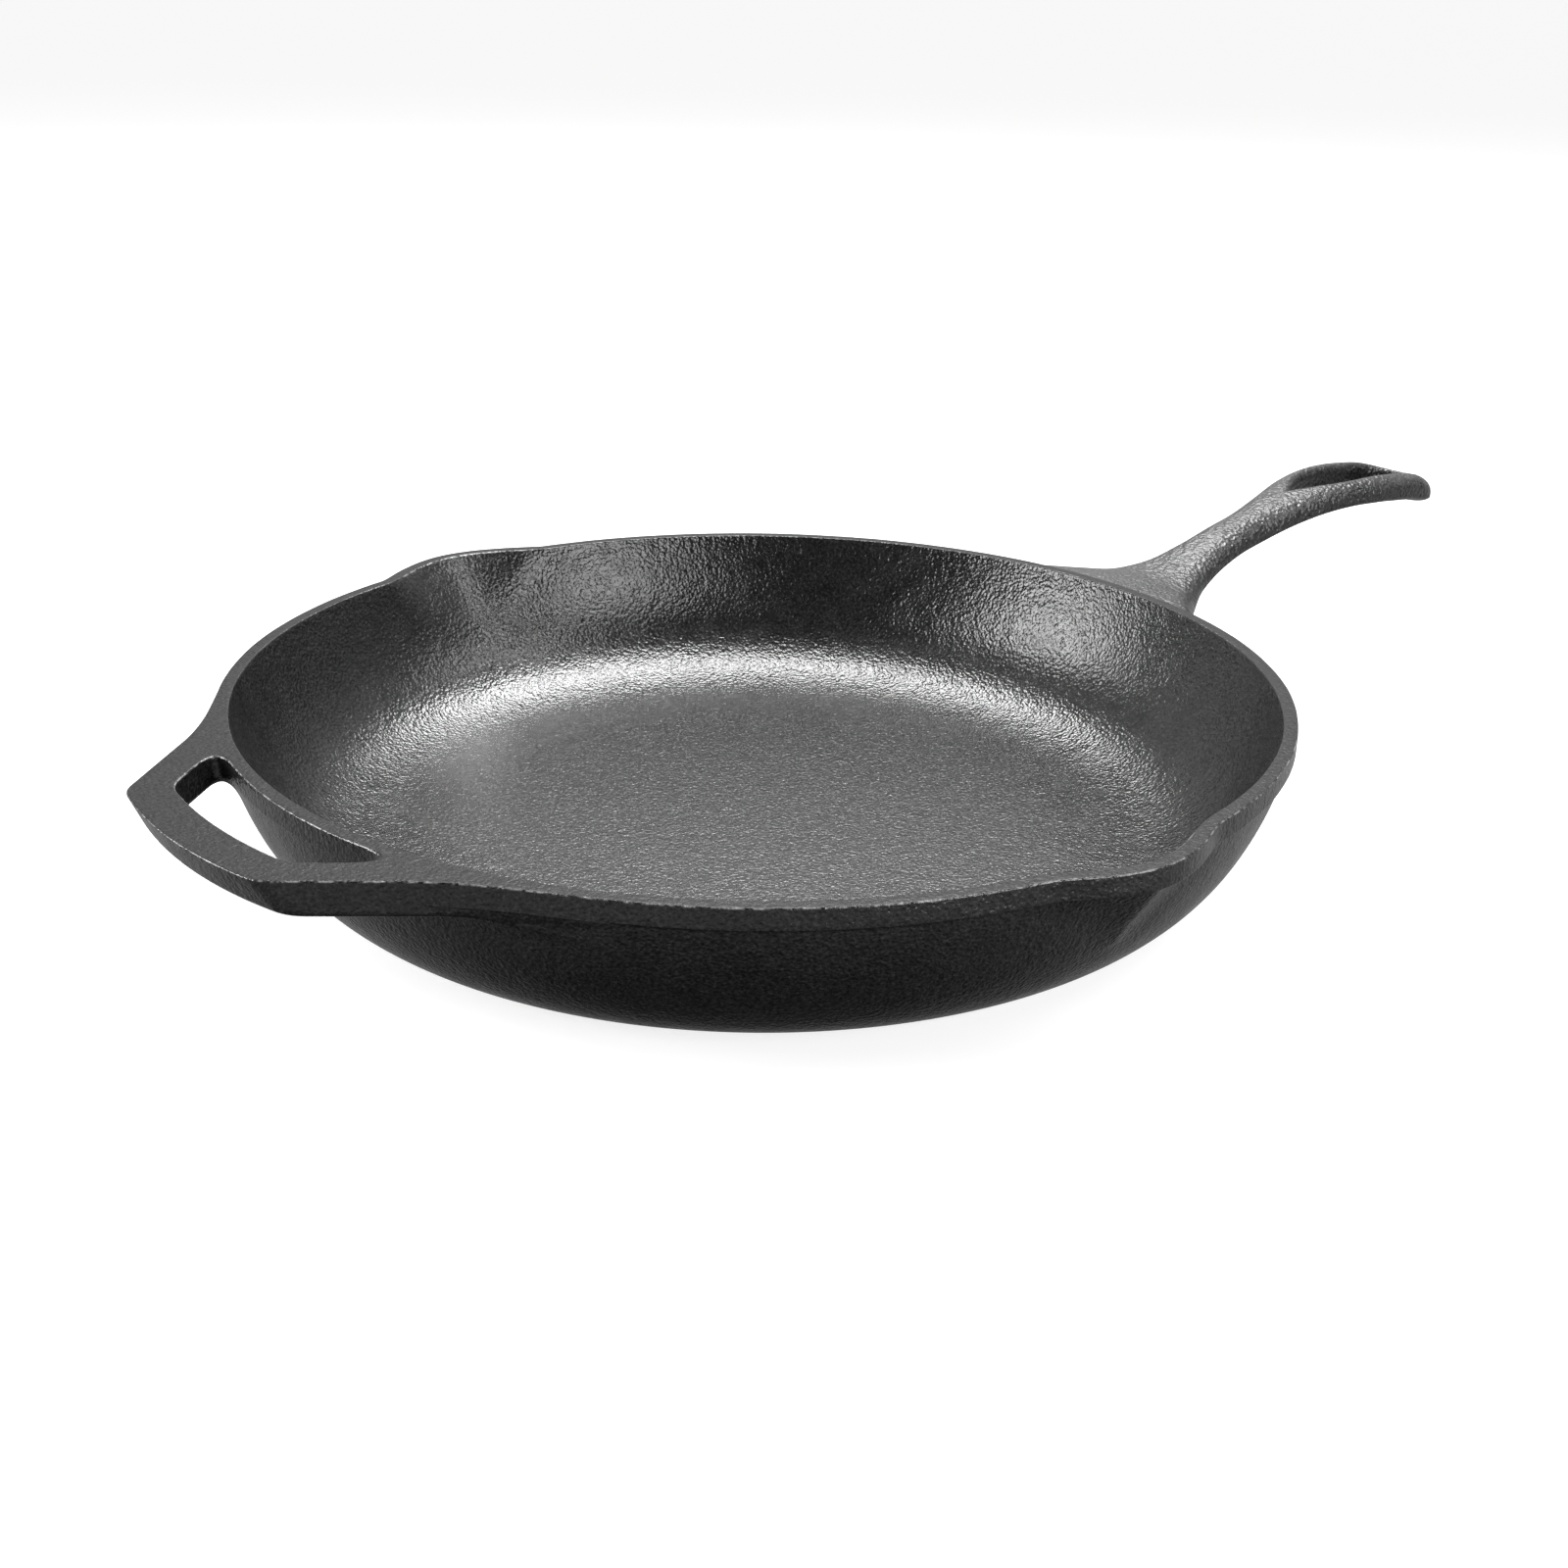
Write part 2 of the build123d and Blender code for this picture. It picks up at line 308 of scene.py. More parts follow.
def inner_at(z, angles):
    radius = np.full(angles.shape, inner_radius(z))
    fade = smooth_step((z - HEEL_TOP) / INNER_FADE)
    for name, (_, reach) in SPOUTS.items():
        groove = groove_radius(reach, RIM_TOP - z, spout_turn(angles, name))
        full = smooth_max(radius, groove, GROOVE_BLEND)
        radius = radius + (full - radius) * fade * near_spout(angles, name)
    return radius


def outer_at(z, angles):
    radius = np.full(angles.shape, float(outer_radius(np.array(z))))
    fade = smooth_step((z - HEEL_TOP) / OUTER_FADE)
    for name, (_, reach) in SPOUTS.items():
        turn = spout_turn(angles, name)
        if z > BAND_BOTTOM + 1e-6:
            full = smooth_max(radius, lip_radius(reach, turn), LIP_BLEND)
        else:
            crest = np.minimum(crest_radius(reach, RIM_TOP - z, turn),
                               lip_radius(reach, turn) - CREST_STAND_IN)
            full = smooth_max(radius, crest, CREST_BLEND)
        radius = radius + (full - radius) * fade * near_spout(angles, name)
    return radius


# ---- the pan as one grid -----------------------------------------------------------
def column_angles():
    """Columns round the pan, with exact ones where each spout's sector ends."""
    marks = []
    for centre, _ in SPOUTS.values():
        marks += [centre - SPOUT_HALF_ANGLE, centre + SPOUT_HALF_ANGLE]
    marks = sorted(marks)
    marks.append(marks[0] + 360)
    angles = []
    for start, end in zip(marks, marks[1:]):
        middle = np.array([(start + end) / 2])
        fine = any(abs(np.degrees(spout_turn(middle, n))[0]) < SPOUT_HALF_ANGLE for n in SPOUTS)
        count = round((end - start) / (FINE_STEP if fine else COARSE_STEP))
        angles.append(np.linspace(start, end, count, endpoint=False))
    return np.concatenate(angles)


def rim_edge_round(angles):
    """The rim's outer edge is broken, except where the short handle's top runs into it."""
    start, end = HELPER_ARC
    off = np.abs((angles + 360) % 360 - 180)
    joined = smooth_step((off - start) / 2.0) * smooth_step((end - off) / 2.0)
    return EDGE_ROUND * (1 - 0.96 * joined)


def build_grid():
    """Rows of points from the middle of the floor, over the rim, to the middle underneath."""
    angles = column_angles()
    rows, names = [], {}

    def add(radius, z, name=None):
        if name:
            names[name] = len(rows)
        radius = np.broadcast_to(radius, angles.shape)
        z = np.broadcast_to(z, angles.shape)
        rows.append(np.stack([radius * np.cos(np.radians(angles)),
                              radius * np.sin(np.radians(angles)), z], -1))

    for r in np.linspace(0, FLOOR_RADIUS - FLOOR_DISH, FLOOR_ROWS)[1:]:
        add(r, FLOOR_TOP)
    rise = INNER[::-1][INNER[::-1, 1] < HEEL_TOP - 0.3]
    before_edge = rise[rise[:, 0] < FLOOR_RADIUS - 0.5]
    after_edge = rise[rise[:, 0] > FLOOR_RADIUS + 0.5]
    for r, z in before_edge[PROFILE_STRIDE::PROFILE_STRIDE]:
        add(r, z)
    add(FLOOR_RADIUS, np.interp(FLOOR_RADIUS, rise[:, 0], rise[:, 1]), "floor_edge")
    for r, z in after_edge[::PROFILE_STRIDE]:
        add(r, z)

    add(inner_at(HEEL_TOP, angles), HEEL_TOP, "inner_heel")
    for z in np.linspace(HEEL_TOP, BAND_BOTTOM, WALL_ROWS)[1:]:
        add(inner_at(z, angles), z)
    names["inner_band"] = len(rows) - 1
    for z in np.linspace(BAND_BOTTOM, RIM_TOP - EDGE_ROUND, BAND_ROWS)[1:]:
        add(inner_at(z, angles), z)

    inside = inner_at(RIM_TOP, angles)
    outside = outer_at(RIM_TOP, angles)
    broken = rim_edge_round(angles)
    for share in ROUND_SHARES:
        turn = share * math.pi / 2
        add(inside + EDGE_ROUND * (1 - math.cos(turn)), RIM_TOP - EDGE_ROUND * (1 - math.sin(turn)))
    for share in ROUND_SHARES[:2]:
        add(inside + EDGE_ROUND + share * (outside - broken - inside - EDGE_ROUND), RIM_TOP)
    for share in (0.0,) + ROUND_SHARES:
        turn = share * math.pi / 2
        add(outside - broken * (1 - math.sin(turn)), RIM_TOP - broken * (1 - math.cos(turn)))

    for z in np.linspace(RIM_TOP - EDGE_ROUND, BAND_BOTTOM + BAND_TOP_GAP, BAND_ROWS)[1:]:
        add(outer_at(z, angles), z)
    for inward, height in BAND_UNDERSIDE:
        add(outside - inward, BAND_BOTTOM + height)
    step_end = outside - BAND_UNDERSIDE[-1][0] - 0.1
    add(np.minimum(outer_at(BAND_BOTTOM, angles), step_end), BAND_BOTTOM, "outer_band")
    for depth in HOLLOW_DEPTHS:
        add(outer_at(BAND_BOTTOM - depth, angles), BAND_BOTTOM - depth)
    for z in np.linspace(BAND_BOTTOM - WALL_START, HEEL_TOP, OUTER_WALL_ROWS):
        add(outer_at(z, angles), z)
    names["outer_heel"] = len(rows) - 1

    for r, z in OUTER[OUTER[:, 1] < HEEL_TOP - 0.3][::PROFILE_STRIDE]:
        add(r, z)
    add(BASE_RADIUS, 0.0)
    add(FLOOR_RADIUS, 0.0, "base_edge")
    for r in np.linspace(FLOOR_RADIUS, 0, BASE_ROWS)[1:-1]:
        add(r, 0.0)
    return angles, with_ripple(np.array(rows)), names


def with_ripple(points):
    """The grid moved in and out by the casting's unevenness, which fades out at the base."""
    out = points / np.maximum(np.linalg.norm(points[..., :2], axis=-1), 1)[..., None]
    out[..., 2] = 0
    wave = sand_ripple(points[..., 0], points[..., 1], points[..., 2])
    share = smooth_step((points[..., 2] - FLOOR_TOP) / RIPPLE_FADE)
    return points + out * (wave * share)[..., None]


def grid_normals(points):
    """Outward normals of the whole grid, so that the cuts between pieces don't show."""
    round_it = np.roll(points, -1, 1) - np.roll(points, 1, 1)
    along = np.gradient(points, axis=0)
    normals = np.cross(along, round_it)
    return normals / np.maximum(np.linalg.norm(normals, axis=-1), 1e-9)[..., None]


def new_piece(node, vertices, faces, normals, flat_from):
    """A mesh in metres that stands for a CAD node, with its own corner normals."""
    name = "cast_" + node
    mesh = bpy.data.meshes.new(name)
    mesh.from_pydata((vertices * MM).tolist(), [], faces)
    mesh.update()
    mesh.shade_smooth()
    corners = np.empty(len(mesh.loops), int)
    mesh.loops.foreach_get("vertex_index", corners)
    corner_normals = normals[corners]
    for polygon in mesh.polygons[flat_from:]:
        corner_normals[polygon.loop_start:polygon.loop_start + polygon.loop_total] = polygon.normal
    mesh.normals_split_custom_set(corner_normals.tolist())
    piece = bpy.data.objects.new(name, mesh)
    bpy.context.scene.collection.objects.link(piece)
    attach(piece, "root")
    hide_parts(node)


def grid_piece(node, loop, columns=None):
    """A closed piece of the grid: rows in loop order, round the whole ring or on some columns.

    Rows that follow each other in the grid are skin; a jump between rows is a cut face."""
    ring = columns is None
    columns = np.arange(len(ANGLES)) if ring else columns
    count = len(columns)
    vertices = GRID[np.ix_(loop, columns)].reshape(-1, 3)
    normals = NORMALS[np.ix_(loop, columns)].reshape(-1, 3)
    skin, cuts = [], []
    j = np.arange(count if ring else count - 1)
    k = (j + 1) % count
    for i, row in enumerate(loop):
        following = (i + 1) % len(loop)
        a, b = i * count, following * count
        quads = np.stack([a + j, b + j, b + k, a + k], -1).tolist()
        kind = skin if loop[following] == row + 1 else cuts
        kind.extend(quads)
    if not ring:
        starts = (np.arange(len(loop)) * count).tolist()
        cuts.append(starts[::-1])
        cuts.append([s + count - 1 for s in starts])
    new_piece(node, vertices, skin + cuts, normals, len(skin))


def floor_piece(rows):
    """The round floor: its top, its underside and the cut round its edge."""
    top = list(range(rows["floor_edge"] + 1))
    under = list(range(rows["base_edge"], len(GRID)))
    count = len(ANGLES)
    vertices = np.concatenate([GRID[top + under].reshape(-1, 3),
                               [(0, 0, FLOOR_TOP), (0, 0, 0)]])
    normals = np.concatenate([NORMALS[top + under].reshape(-1, 3), [(0, 0, 1), (0, 0, -1)]])
    j = np.arange(count)
    k = (j + 1) % count
    skin, cuts = [], []
    for i in range(len(top) + len(under) - 1):
        a, b = i * count, (i + 1) * count
        quads = np.stack([a + j, b + j, b + k, a + k], -1).tolist()
        kind = cuts if i == len(top) - 1 else skin
        kind.extend(quads)
    middle = len(vertices) - 2
    last = (len(top) + len(under) - 1) * count
    skin += np.stack([np.full(count, middle), j, k], -1).tolist()
    skin += np.stack([last + j, np.full(count, middle + 1), last + k], -1).tolist()
    new_piece("pan_floor", vertices, skin + cuts, normals, len(skin))


def arc_columns(start, end):
    """Columns from one angle round to another, both included."""
    first = int(np.argmin(np.abs((ANGLES - start + 180) % 360 - 180)))
    last = int(np.argmin(np.abs((ANGLES - end + 180) % 360 - 180)))
    count = (last - first) % len(ANGLES)
    return (first + np.arange(count + 1)) % len(ANGLES)


def build_pan(rows):
    def span(first, last):
        return list(range(rows[first], rows[last] + 1))

    floor_piece(rows)
    heel = span("floor_edge", "inner_heel") + span("outer_heel", "base_edge")
    wall = span("inner_heel", "inner_band") + span("outer_band", "outer_heel")
    band = span("inner_band", "outer_band")
    spout = span("inner_heel", "outer_heel")
    grid_piece("wall_heel", heel)
    left, right = (SPOUTS[n][0] for n in ("pour_spout_left", "pour_spout_right"))
    half = SPOUT_HALF_ANGLE
    front = arc_columns(right + half, left - half)
    back = arc_columns(left + half, right - half)
    for side, columns in (("front", front), ("back", back)):
        grid_piece("side_wall_" + side, wall, columns)
        grid_piece("rim_band_" + side, band, columns)
    grid_piece("pour_spout_left", spout, arc_columns(left - half, left + half))
    grid_piece("pour_spout_right", spout, arc_columns(right - half, right + half))


# ---- handles as distance fields ------------------------------------------------------
def pan_distance(x, y, z):
    """Distance outside the pan's outer skin, near it."""
    slope = np.gradient(OUTER[::-1, 0], OUTER[::-1, 1])
    lean = np.interp(z, OUTER[::-1, 1], slope, right=0.0)
    r = np.hypot(x, y)
    wave = sand_ripple(x, y, z)
    return (r - wave - outer_radius(z)) / np.sqrt(1 + lean * lean)


def under_skin(body, flow):
    """How far under the pan's skin a handle's fillet lies, from the handle outwards."""
    return SKIN_GAP + SKIN_DIVE * smooth_step((body / flow - DIVE_START) / DIVE_LENGTH)


def hidden_end(body, flow, pan):
    """Where a handle's piece stops, out of sight inside the pan's wall."""
    return np.maximum(body - DIVE_END * flow, -(pan + SKIN_DEPTH))


def hole_distance(x, y):
    """Teardrop in plan: negative in the hanging hole."""
    turn = HOLE_END - HOLE_HALF_WIDTH
    length = HOLE_SHOULDER - HOLE_START
    t = np.clip((x - HOLE_START) / length, 0, 1)
    rise = HOLE_OPENING_SLOPE * length
    half = rise * t * (1 - t) ** 2 + HOLE_HALF_WIDTH * t * t * (3 - 2 * t)
    half = half + HOLE_OPENING_SLOPE * np.minimum(x - HOLE_START, 0)
    steep = (rise * (1 - t) * (1 - 3 * t) + 6 * HOLE_HALF_WIDTH * t * (1 - t)) / length
    straight = (np.abs(y) - half) / np.sqrt(1 + steep * steep)
    return np.where(x > turn, np.hypot(x - turn, y) - HOLE_HALF_WIDTH, straight)


def long_handle(x, y, z):
    """Domed bar that flares into the pan, dips, rises and ends in a round tip."""
    knots = HANDLE_STATIONS[:, 0]
    half, spread = through(knots, HANDLE_STATIONS[:, 1], x)
    top, climb = through(knots, HANDLE_STATIONS[:, 2], x)
    crown = np.interp(x, knots, HANDLE_STATIONS[:, 3])
    side = np.hypot(y, np.maximum(x - (HANDLE_TIP - TIP_RADIUS), 0))
    edge = np.minimum(half, HANDLE_EDGE)
    bow = np.minimum(side / half, 1.1) ** 2
    upper = RIM_TOP + top - crown * bow
    lower = RIM_TOP + top - HANDLE_THICKNESS + 0.5 * crown * bow
    parting = RIM_TOP + top - HANDLE_THICKNESS * (1 - PARTING_SHARE)
    above = z > parting
    height = np.where(above, upper - parting, parting - lower)
    power = np.where(above, *SQUARENESS)
    u = np.maximum(side - half + edge, 0) / edge
    v = np.abs(z - parting) / height
    size = np.maximum((u**power + v**power) ** (1 / power), 1e-3)
    across = (u / size) ** (power - 1) / edge
    upright = (v / size) ** (power - 1) / height
    along = upright * climb + across * spread
    return (size - 1) / np.sqrt(across**2 + upright**2 + along**2 + 1e-9)


def main_handle(x, y, z):
    body = smooth_max(long_handle(x, y, z), -hole_distance(x, y), HOLE_LIP)
    pan = pan_distance(x, y, z)
    near_rim, growth = MAIN_FLOW
    flow = near_rim + growth * smooth_step((RIM_TOP - 1.0 - z) / 8.0)
    joined = smooth_min(body, pan + under_skin(body, flow), flow)
    under_rim = z - (RIM_TOP - 0.05 + 0.6 * np.maximum(x - 158.0, 0))
    return np.maximum(np.maximum(joined, under_rim), hidden_end(body, flow, pan))


def bow_line(reach, corner, u, side):
    """Distance outside a bowed edge through (reach, 0) and its two corners."""
    sag = reach - corner[0]
    radius = (corner[1] ** 2 + sag**2) / (2 * sag)
    return np.hypot(u - reach + radius, side) - radius


def arm_line(corner, root, u, side):
    """Distance outside the straight line from a corner to its root on the wall."""
    run = np.array(corner) - np.array(root)
    run = run / np.linalg.norm(run)
    return (u - root[0]) * -run[1] + (side - root[1]) * run[0]


def helper_handle(x, y, z):
    u, side = -x, np.abs(y)
    lean = GRIP_LEAN * (RIM_TOP - z) / (RIM_TOP - HELPER_BOTTOM)
    grip = bow_line(HELPER_REACH, GRIP_CORNER, u, side) + lean
    outline = smooth_max(grip, arm_line(GRIP_CORNER, GRIP_ROOT, u, side), GRIP_ROUND)
    opening = smooth_max(bow_line(FINGER_REACH, FINGER_CORNER, u, side),
                         arm_line(FINGER_CORNER, FINGER_ROOT, u, side), FINGER_ROUND)
    plan = smooth_max(outline, -opening, FINGER_EDGE)
    body = smooth_max(plan, HELPER_BOTTOM - z, UNDER_EDGE)
    pan = pan_distance(x, y, z)
    near_rim, growth = HELPER_FLOW
    flow = near_rim + growth * smooth_step((BAND_BOTTOM - z) / 4.0)
    joined = smooth_min(body, pan + under_skin(body, flow), flow)
    ground = z - RIM_TOP + SKIN_GAP * smooth_step(0.5 - pan / 0.2)
    ends = np.maximum(hidden_end(body, flow, pan), side - ROOT_SPREAD)
    return np.maximum(smooth_max(joined, ground, TOP_EDGE), ends)


def field_value(field, points):
    value = np.empty(len(points))
    for start in range(0, len(points), FIELD_CHUNK):
        part = points[start:start + FIELD_CHUNK]
        value[start:start + FIELD_CHUNK] = field(part[:, 0], part[:, 1], part[:, 2])
    return value


def field_slope(field, points, reach=0.02):
    slope = np.empty(points.shape)
    for axis in range(3):
        nudge = np.zeros(3)
        nudge[axis] = reach
        ahead = field_value(field, points + nudge)
        behind = field_value(field, points - nudge)
        slope[:, axis] = (ahead - behind) / (2 * reach)
    return slope


def settle(field, points, step):
    """Points moved onto the surface where the field is zero."""
    for _ in range(4):
        slope = field_slope(field, points)
        steep = np.maximum((slope**2).sum(-1), 0.05)
        move = -(field_value(field, points) / steep)[:, None] * slope
        length = np.maximum(np.linalg.norm(move, axis=-1), 1e-9)[:, None]
        points = points + move * np.minimum(1, 0.7 * step / length)
    return points


def surface_net(field, low, high, step):
    """Quads round the solid where the field is negative, one corner for each mixed cell."""
    axes = [np.arange(a, b + step, step) for a, b in zip(low, high)]
    shape = [len(a) for a in axes]
    value = np.empty(shape, np.float32)
    for i, x in enumerate(axes[0]):
        y, z = np.meshgrid(axes[1], axes[2], indexing="ij")
        value[i] = field(np.full(y.shape, x), y, z)
    solid = value < 0
    corners = np.zeros([n - 1 for n in shape], np.int8)
    for i in (0, 1):
        for j in (0, 1):
            for k in (0, 1):
                corners += solid[i:shape[0] - 1 + i, j:shape[1] - 1 + j, k:shape[2] - 1 + k]
    mixed = (corners > 0) & (corners < 8)
    number = np.full(mixed.shape, -1)
    number[mixed] = np.arange(mixed.sum())
    points = np.array(low) + (np.argwhere(mixed) + 0.5) * step
    faces = []
    for axis in range(3):
        ahead = np.roll(solid, -1, axis)
        inner = [slice(1, -1)] * 3
        inner[axis] = slice(0, -1)
        change = np.zeros_like(solid)
        change[tuple(inner)] = (solid != ahead)[tuple(inner)]
        at = np.argwhere(change)
        b, c = (axis + 1) % 3, (axis + 2) % 3
        ring = []
        for db, dc in ((-1, -1), (0, -1), (0, 0), (-1, 0)):
            cell = at.copy()
            cell[:, b] += db
            cell[:, c] += dc
            ring.append(number[tuple(cell.T)])
        quads = np.stack(ring, -1)
        leaving = solid[tuple(at.T)]
        quads[~leaving] = quads[~leaving][:, ::-1]
        faces.append(quads)
    return points, np.concatenate(faces)


def relax(points, faces):
    """One smoothing step along the quads' edges."""
    total = np.zeros(points.shape)
    count = np.zeros(len(points))
    for a, b in ((0, 1), (1, 2), (2, 3), (3, 0)):
        for start, end in ((faces[:, a], faces[:, b]), (faces[:, b], faces[:, a])):
            for axis in range(3):
                total[:, axis] += np.bincount(start, points[end, axis], len(points))
            count += np.bincount(start, minlength=len(points))
    return 0.5 * points + 0.5 * total / np.maximum(count, 1)[:, None]


def field_piece(node, field, low, high, step):
    points, faces = surface_net(field, low, high, step)
    points = settle(field, points, step)
    for _ in range(2):
        points = settle(field, relax(points, faces), step)
    slope = field_slope(field, points)
    normals = slope / np.maximum(np.linalg.norm(slope, axis=-1), 1e-9)[:, None]
    new_piece(node, points, faces.tolist(), normals, len(faces))


def build_handles():
    for node, field, box in (("main_handle", main_handle, handle_box),
                             ("helper_handle", helper_handle, helper_box)):
        low = np.array(box[0]) / MM - FIELD_ROOM
        high = np.array(box[1]) / MM + FIELD_ROOM
        low[2] = HEEL_TOP
        field_piece(node, field, low, high, FIELD_STEPS[node])


# ---- seasoned iron --------------------------------------------------------------------
DARK_TONE = 0.006              # seasoned iron is cloudy between these two
LIGHT_TONE = 0.012
PIT_TONE = 0.001
# light flecks painted as glints of the grain
GLINT_SPECK_TONE = 0.06
# painted highlight along the rim's outer edge, in the colour of bare metal from wear
EDGE_GLINT_TONE = 0.16
LAND_TONES = (0.003, 0.014)
FLOOR_TONE = 0.005             # the cooking surface: tone, roughness, share of the relief
FLOOR_ROUGHNESS = 0.29
FLOOR_RELIEF = 0.8
FLOOR_GLINT_FLECK = 0.9              # and its share of light flecks, painted glints
WALL_GLINT_FLECK = 0.2
FLOOR_FADE = (4.0, -40.0)      # it starts and is complete this far outside the floor's edge
LAND_ROUGHNESS = 0.42          # the ground land, and the long handle's matte top
LAND_RELIEF = 0.7
LAND_SHEEN = 0.15
SHEEN = 0.5


class Nodes:
    """Short names for making shader nodes."""

    def __init__(self, material):
        self.tree = material.node_tree
        self.tree.nodes.clear()

    def add(self, kind, **values):
        node = self.tree.nodes.new("ShaderNode" + kind)
        for key, value in values.items():
            if key in node.inputs:
                self.put(node.inputs[key], value)
            else:
                setattr(node, key, value)
        return node

    def put(self, socket, value):
        if isinstance(value, bpy.types.NodeSocket):
            self.tree.links.new(value, socket)
        else:
            socket.default_value = value

    def maths(self, operation, a, b):
        node = self.tree.nodes.new("ShaderNodeMath")
        node.operation = operation
        self.put(node.inputs[0], a)
        self.put(node.inputs[1], b)
        return node.outputs[0]

    def noise(self, place, size_mm, detail=2.0, roughness=0.5, distortion=0.0):
        node = self.add("TexNoise", Vector=place, Scale=1000.0 / size_mm, Detail=detail,
                        Roughness=roughness, Distortion=distortion)
        return node.outputs["Fac"]

    def spread(self, value, low, high, to_low=0.0, to_high=1.0):
        node = self.add("MapRange", Value=value)
        for key, number in (("From Min", low), ("From Max", high),
                            ("To Min", to_low), ("To Max", to_high)):
            self.put(node.inputs[key], number)
        node.clamp = True
        return node.outputs["Result"]

    def mix(self, share, a, b):
        node = self.add("Mix", data_type="RGBA")
        self.put(node.inputs[0], share)
        self.put(node.inputs[6], a)
        self.put(node.inputs[7], b)
        return node.outputs[2]

    def product(self, a, b):
        return self.maths("MULTIPLY", a, b)

    def blend(self, share, a, b):
        return self.add("Mix", Factor=share, A=a, B=b).outputs["Result"]

    def length(self, vector):
        return self.add("VectorMath", operation="LENGTH", Vector=vector).outputs["Value"]

    def stretched(self, vector, scale):
        return self.add("Mapping", Vector=vector, Scale=scale).outputs[0]

    def height_of(self, vector):
        return self.add("SeparateXYZ", Vector=vector).outputs["Z"]


def grey(level):
    return (level, level, level, 1.0)


def cast_grain(n, place, grain):
    """Height of the pebbled skin: rounded cells, lumps and a slow swell."""
    pebble = n.add("TexVoronoi", Vector=place, feature="SMOOTH_F1", Scale=1000.0 / grain,
                   Smoothness=0.8).outputs["Distance"]
    lumps = n.noise(place, 1.5 * grain, 2.0, 0.55, 0.5)
    swell = n.noise(place, 5.0 * grain, 2.0, 0.5)
    height = n.maths("ADD", n.product(pebble, 0.5), n.product(lumps, 0.7))
    return n.maths("ADD", height, n.product(swell, 0.6))


def rim_masks(n, place, up):
    """Where the rim's ground land is, and where a painted highlight runs along its outer edge, in
    the colour of bare metal from wear.
    """
    height = n.height_of(place)
    level = n.spread(height, (RIM_TOP - 0.3) * MM, (RIM_TOP - 0.12) * MM)
    below = n.spread(height, (RIM_TOP + 0.3) * MM, (RIM_TOP + 0.2) * MM)
    land = n.product(n.product(level, below), n.spread(up, 0.8, 0.95))
    # painted highlight: a lighter, broken line along the rim's outer edge
    edge = n.spread(height, (RIM_TOP - 0.5) * MM, (RIM_TOP - 0.25) * MM)
    edge = n.product(edge, n.spread(up, 0.97, 0.8))
    outer = n.spread(n.length(place), (RIM_RADIUS + 5) * MM, (RIM_RADIUS + 7) * MM)
    glint_dashes = n.spread(n.noise(place, 3.0, 3.0, 0.65), 0.45, 0.6)
    edge_glint = n.product(n.product(n.product(edge, outer), glint_dashes), below)
    return land, edge_glint


